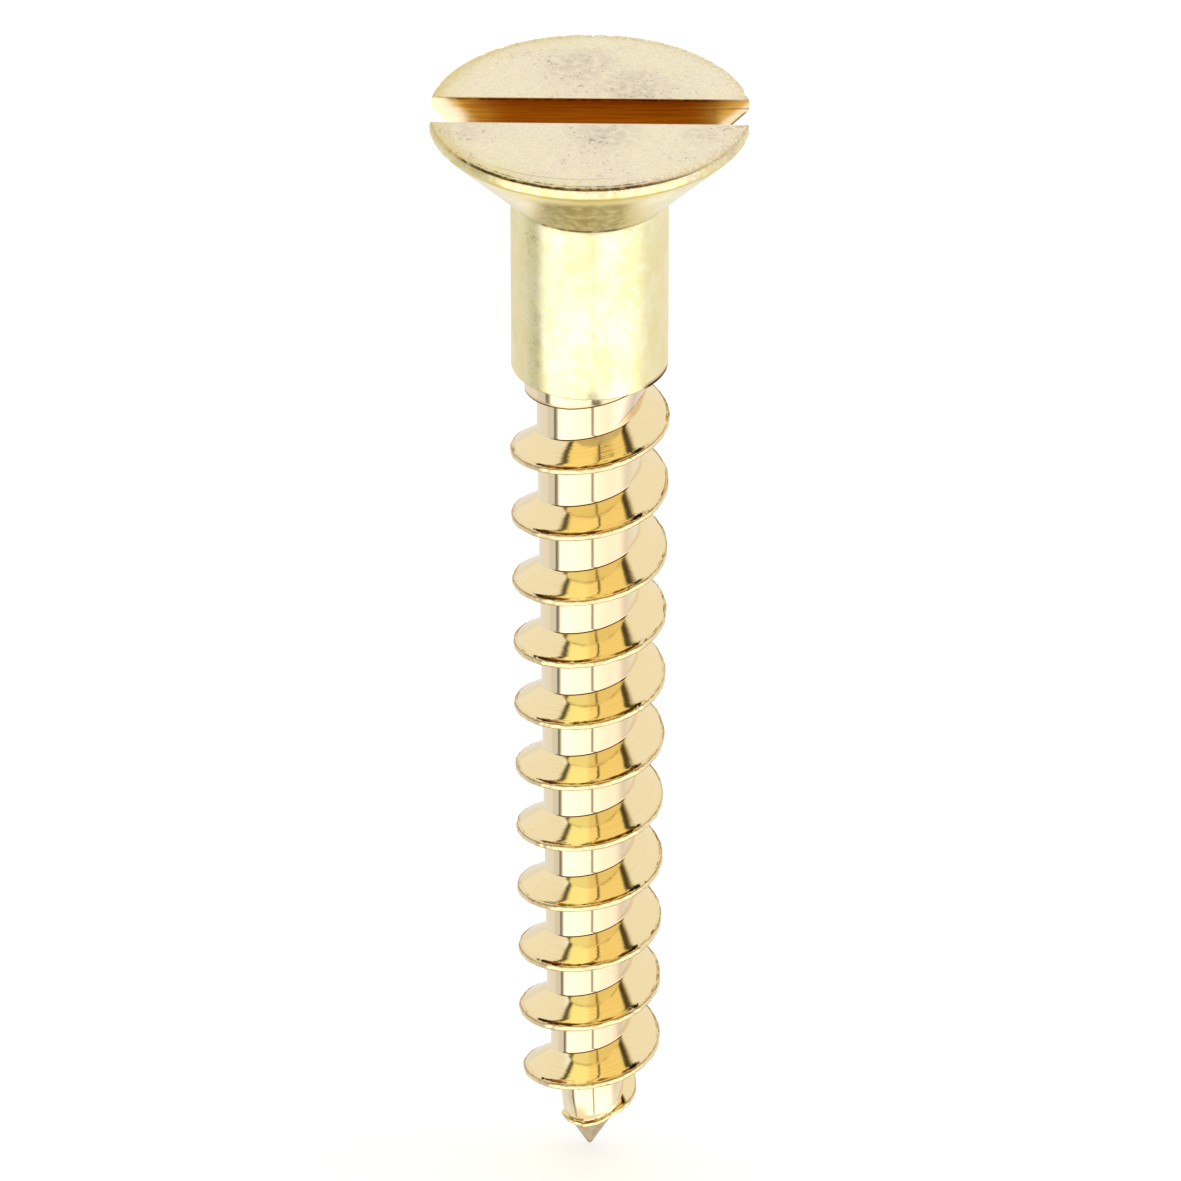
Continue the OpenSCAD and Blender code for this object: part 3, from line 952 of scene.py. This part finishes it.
# ---------------------------------------------------------------------------
# Point. The plain brass cone left at the tip below the last turn, turned first
# and never threaded, so it is duller and greyer than the cut thread.
# ---------------------------------------------------------------------------
TIP = point_low.z
CONE_R = point_high.x
CONE_TOP = point_high.z
BLUNT_RADIUS = 0.1 * MM
BLUNT_LOSS = 0.04 * MM
CONE_RINGS = 24
CONE_STEPS = 96
RIPPLE = 0.005 * MM
TIP_TAN = (0.62, 0.53, 0.42, 1)
TIP_GREY = (0.46, 0.39, 0.3, 1)
TIP_RING_BROWN = (0.3, 0.23, 0.16, 1)
TIP_SPECK_BROWN = (0.35, 0.26, 0.16, 1)

slope = math.atan2(CONE_R, CONE_TOP - TIP)
ball_z = TIP + BLUNT_LOSS + BLUNT_RADIUS
ball_start = (BLUNT_RADIUS * math.cos(slope), ball_z - BLUNT_RADIUS * math.sin(slope))
point_outline = [(0, CONE_TOP), (CONE_R * 0.98, CONE_TOP)]
for k in range(CONE_RINGS):
    share = k / CONE_RINGS
    ripple = RIPPLE * math.sin(k * 2.1) * (1 - share)
    radius = CONE_R + (ball_start[0] - CONE_R) * share
    point_outline.append((radius + ripple, CONE_TOP + (ball_start[1] - CONE_TOP) * share))
point_outline += arc((0, ball_z), BLUNT_RADIUS, -math.degrees(slope), -80, 6)
point_outline.append((0, ball_z - BLUNT_RADIUS))
point = lathe("point_body", point_outline, CONE_STEPS)

turned_tip, n, shader = new_material("turned_tip")
place = n.millimetres()[0]
skin = n.group(tumbled_skin, {"Place": place, "Cloud size": 0.3, "Seed": 9.0})
rings = n.noise(n.stretched(place, (0.5, 0.5, 9.0)), 1.0, 3.0, 2.0)
tip_tone = n.painted(
    TIP_TAN,
    (TIP_GREY, skin["Clouds"]),
    (TIP_RING_BROWN, n.times(n.share(rings, 0.52, 0.7), 0.5)),
    (TIP_SPECK_BROWN, n.times(skin["Specks"], 0.5)),
)
n.feed(shader.inputs["Base Color"], tip_tone)
n.feed(shader.inputs["Roughness"], n.mix(0.28, 0.42, rings))
relief = n.total(n.times(rings, 3.0), n.times(skin["Specks"], -1.0))
n.feed(shader.inputs["Normal"], n.bump(relief, 0.003 * MM, 0.8))
point.data.materials.append(turned_tip)
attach(point, "root")
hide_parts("point")


# ---------------------------------------------------------------------------
# Studio. A plain pale floor under the tip, a white tent all round that gives an
# even light and the reflections, and the camera above and in front of the screw.
# ---------------------------------------------------------------------------
FLOOR_SIZE = 4.0
FLOOR_COLOUR = (0.88, 0.89, 0.92, 1)
FLOOR_GLOW = (0.94, 0.96, 1, 1)
FLOOR_GLOW_STRENGTH = 0.52
CAMERA_DISTANCE = 342.8208 * MM
CAMERA_ELEVATION = 31.33
CAMERA_AZIMUTH = 1.1
CAMERA_AIM = Vector((0.025 * MM, 0, -17.17 * MM))
# The lens's focal length for each unit of its picture's width.
FOCAL_PER_WIDTH = 9.2548688

# How bright the parts of the tent are, and what colours they have.
ROOM_LIGHT = 0.95
WINDOW_LIGHT = 1.6
WINDOW_FRAME = 0.22
WINDOW_BAR = 0.5
LEFT_SHADE = 0.74
FLOOR_SHADE = 0.5
DOOR_BAR = 0.05
WHITE = (1, 1, 1, 1)
WARM_FLOOR = (1.0, 0.93, 0.72, 1)
DOOR_ORANGE = (1.0, 0.5, 0.12, 1)
DOOR_YELLOW = (1.0, 0.81, 0.36, 1)

bpy.ops.mesh.primitive_plane_add(size=FLOOR_SIZE, location=(0, 0, TIP))
paper = bpy.context.object
paper.name = "floor"
floor_paper, n, shader = new_material("floor_paper")
shader.inputs["Base Color"].default_value = FLOOR_COLOUR
shader.inputs["Metallic"].default_value = 0.0
shader.inputs["Roughness"].default_value = 0.9
shader.inputs["Emission Color"].default_value = FLOOR_GLOW
shader.inputs["Emission Strength"].default_value = FLOOR_GLOW_STRENGTH
paper.data.materials.append(floor_paper)
paper.visible_glossy = False


def plateau(n, value, start, full, fading, end):
    """0 up to start, 1 from full to fading and 0 again from end, with smooth slopes."""
    return n.times(n.share(value, start, full, True), n.share(value, end, fading, True))


world = bpy.data.worlds.new("tent")
bpy.context.scene.world = world
world.use_nodes = True
world.node_tree.nodes.clear()
n = Nodes(world.node_tree)

# Directions from the screw, in degrees: azimuth 0 is the front and 90 the right.
direction = n.put("ShaderNodeTexCoord").outputs["Generated"]
split = n.put("ShaderNodeSeparateXYZ", {0: direction})
azimuth = n.math("ARCTAN2", split.outputs[0], n.math("MULTIPLY", split.outputs[1], -1.0))
azimuth = n.math("DEGREES", azimuth)
elevation = n.math("DEGREES", n.math("ARCSINE", split.outputs[2]))
below = n.share(elevation, 3, -3, True)
above = n.math("SUBTRACT", 1.0, below)
steep = n.share(elevation, -38, -54, True)

# Below the horizon, which the upright sides mirror: a wall with a wide window in
# front, framed dark on the left and with a bar in it, and the ground under it.
wall = n.layered(
    n.mix(0.85, 0.92, n.share(azimuth, 0, 90)),
    (LEFT_SHADE, n.band(azimuth, -104, -82, 4)),
    (WINDOW_LIGHT, plateau(n, azimuth, -80, -66, 60, 94)),
    (WINDOW_FRAME, plateau(n, azimuth, -85, -82, -80, -68)),
    (WINDOW_BAR, n.band(azimuth, 4, 10, 2)),
)
behind = n.share(n.math("ABSOLUTE", azimuth), 112, 150)
ground = n.layered(
    n.mix(0.9, 1.08, behind),
    (1.0, n.band(azimuth, -76, 103, 3)),
    (FLOOR_SHADE, n.highest(n.band(azimuth, -86, -73, 2), n.band(azimuth, 97, 108, 3))),
)
lower_half = n.mix(wall, ground, steep)

# Above it, which the thread's flanks mirror: a high doorway with a warm room in it,
# dim low down, with a dark bar and dark sides.
doorway = n.times(plateau(n, azimuth, -99, -93, 70, 82), n.share(elevation, 88, 84))
room = n.mix(n.mix(0.05, 0.3, n.share(elevation, 15, 30)), 1.0, n.share(elevation, 40, 46, True))
room = n.times(room, n.mix(1.08, 1.0, n.share(azimuth, -30, 0)))
room = n.mix(room, DOOR_BAR, n.band(azimuth, -25.5, -18.5, 1.5))
room = n.times(room, n.math("MULTIPLY_ADD", n.band(azimuth, -88, 60, 3.5), 0.94, 0.06))
upper_half = n.mix(ROOM_LIGHT, room, doorway)

# The camera itself sees the tent plain white.
seen = n.put("ShaderNodeLightPath").outputs["Is Camera Ray"]
mirrored = n.math("SUBTRACT", 1.0, seen)
strength = n.layered(upper_half, (lower_half, below), (1.0, seen))
door_tone = n.colour(DOOR_ORANGE, DOOR_YELLOW, n.share(elevation, 38, 46))
tent_tone = n.painted(
    WHITE,
    (WARM_FLOOR, n.times(below, n.share(elevation, -45, -56), mirrored)),
    (door_tone, n.times(above, doorway, mirrored)),
)
tent_light = n.put("ShaderNodeBackground", {"Color": tent_tone, "Strength": strength})
n.put("ShaderNodeOutputWorld", {"Surface": tent_light.outputs[0]})

camera_data = bpy.data.cameras.new("camera")
camera_data.sensor_width = 36
camera_data.lens = FOCAL_PER_WIDTH * camera_data.sensor_width
camera_data.clip_start = 0.01
camera_data.clip_end = 10
camera = bpy.data.objects.new("camera", camera_data)
bpy.context.scene.collection.objects.link(camera)
bpy.context.scene.camera = camera
turned, raised = math.radians(CAMERA_AZIMUTH), math.radians(CAMERA_ELEVATION)
back = Vector((
    math.sin(turned) * math.cos(raised),
    -math.cos(turned) * math.cos(raised),
    math.sin(raised),
))
camera.location = CAMERA_AIM + back * CAMERA_DISTANCE
camera.rotation_euler = back.to_track_quat("Z", "Y").to_euler()

bpy.context.scene.view_settings.view_transform = "Standard"
